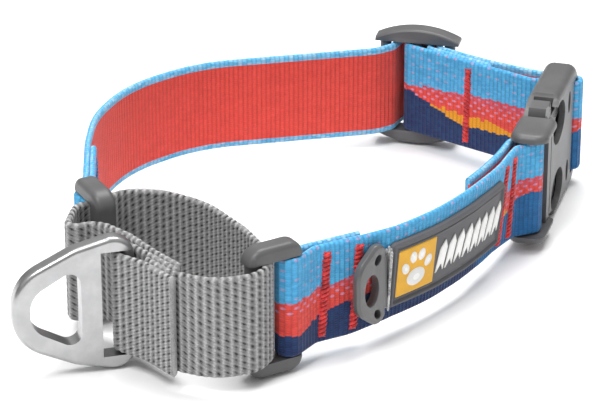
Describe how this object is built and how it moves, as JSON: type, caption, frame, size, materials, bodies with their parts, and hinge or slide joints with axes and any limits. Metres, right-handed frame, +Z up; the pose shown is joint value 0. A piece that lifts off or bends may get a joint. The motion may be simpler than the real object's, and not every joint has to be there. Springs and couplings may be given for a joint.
{
  "type": "martingale collar",
  "caption": "Martingale dog collar: patterned webbing neck strap with side-release buckle and slider, and a grey tightening loop with a flat leash ring.",
  "frame": {"origin": "on the surface the collar stands on, under the middle of its box", "axes": "+Z up across the webbing's width, +X from the leash ring towards the buckle's side, +Y from the label towards the back strap"},
  "size_m": [0.1398, 0.1494, 0.034],
  "materials": {
    "patterned_webbing": "woven polyester, blue, coral, gold and navy pattern",
    "grey_webbing": "coarse ribbed weave",
    "red_thread": "satin thread",
    "blue_thread": "satin thread",
    "grey_thread": "satin thread",
    "ring_metal": "satin",
    "grey_plastic": "moulded, fine texture",
    "label_rubber": "matt",
    "panel_yellow": "matt",
    "label_white": "matt"
  },
  "bodies": {
    "root": {"back_strap": "patterned_webbing", "front_strap": "patterned_webbing", "control_loop": "grey_webbing", "buckle_plug": "grey_plastic", "name_label": "label_rubber", "label_panel": "panel_yellow", "label_emblem": "label_white", "label_marks": "label_white", "tag_tape": "grey_webbing", "front_left_bartacks": "red_thread", "front_right_bartacks": "red_thread", "left_loop_bartack": "blue_thread"},
    "control_tab": {"control_tab": "grey_webbing", "tab_stitching": "grey_thread"},
    "leash_ring": {"leash_ring": "ring_metal"},
    "left_loop": {"left_loop": "grey_plastic"},
    "right_loop": {"right_loop": "grey_plastic"},
    "slider": {"slider": "grey_plastic", "slider_bartack": "red_thread"},
    "buckle_socket": {"buckle_socket": "grey_plastic"},
    "prong_top": {"buckle_prong_top": "grey_plastic"},
    "prong_bottom": {"buckle_prong_bottom": "grey_plastic"},
    "tag_ring": {"tag_ring": "grey_plastic"}
  },
  "joints": [
    {"name": "martingale_draw", "type": "slide", "parent": "root", "child": "control_tab", "axis": [-0.9945, -0.1045, 0], "range_m": [0, 0.012], "deforming": ["control_loop"]},
    {"name": "leash_ring_swing", "type": "hinge", "parent": "control_tab", "child": "leash_ring", "pos_m": [-0.04346, -0.05908, 0.017], "axis": [0, 0, 1], "range_deg": [-48, 40]},
    {"name": "left_loop_swing", "type": "hinge", "parent": "root", "child": "left_loop", "pos_m": [-0.05446, -0.02768, 0.017], "axis": [0, 0, 1], "range_deg": [-10, 10]},
    {"name": "right_loop_swing", "type": "hinge", "parent": "root", "child": "right_loop", "pos_m": [-0.00646, -0.06148, 0.017], "axis": [0, 0, 1], "range_deg": [-10, 6]},
    {"name": "slider_adjust", "type": "slide", "parent": "root", "child": "slider", "axis": [0.9744, -0.225, 0], "range_m": [-0.008, 0.006], "deforming": ["back_strap"]},
    {"name": "buckle_release", "type": "slide", "parent": "root", "child": "buckle_socket", "axis": [0.2756, 0.9613, 0], "range_m": [0, 0.026], "deforming": ["buckle_prong_top", "buckle_prong_bottom"]},
    {"name": "prong_top_squeeze", "type": "hinge", "parent": "root", "child": "prong_top", "pos_m": [0.05585, 0.01532, 0.0256], "axis": [0.9613, -0.2756, 0], "range_deg": [0, 8], "stiffness_Nm_per_rad": 0.3},
    {"name": "prong_bottom_squeeze", "type": "hinge", "parent": "root", "child": "prong_bottom", "pos_m": [0.05585, 0.01532, 0.0084], "axis": [0.9613, -0.2756, 0], "range_deg": [-8, 0], "stiffness_Nm_per_rad": 0.3},
    {"name": "tag_ring_swing", "type": "hinge", "parent": "root", "child": "tag_ring", "pos_m": [0.01545, -0.04985, 0.017], "axis": [0, 0, 1], "range_deg": [-5, 50]}
  ],
  "couplings": [
    {"joint": "prong_bottom_squeeze", "follows": "prong_top_squeeze", "ratio": -1}
  ]
}
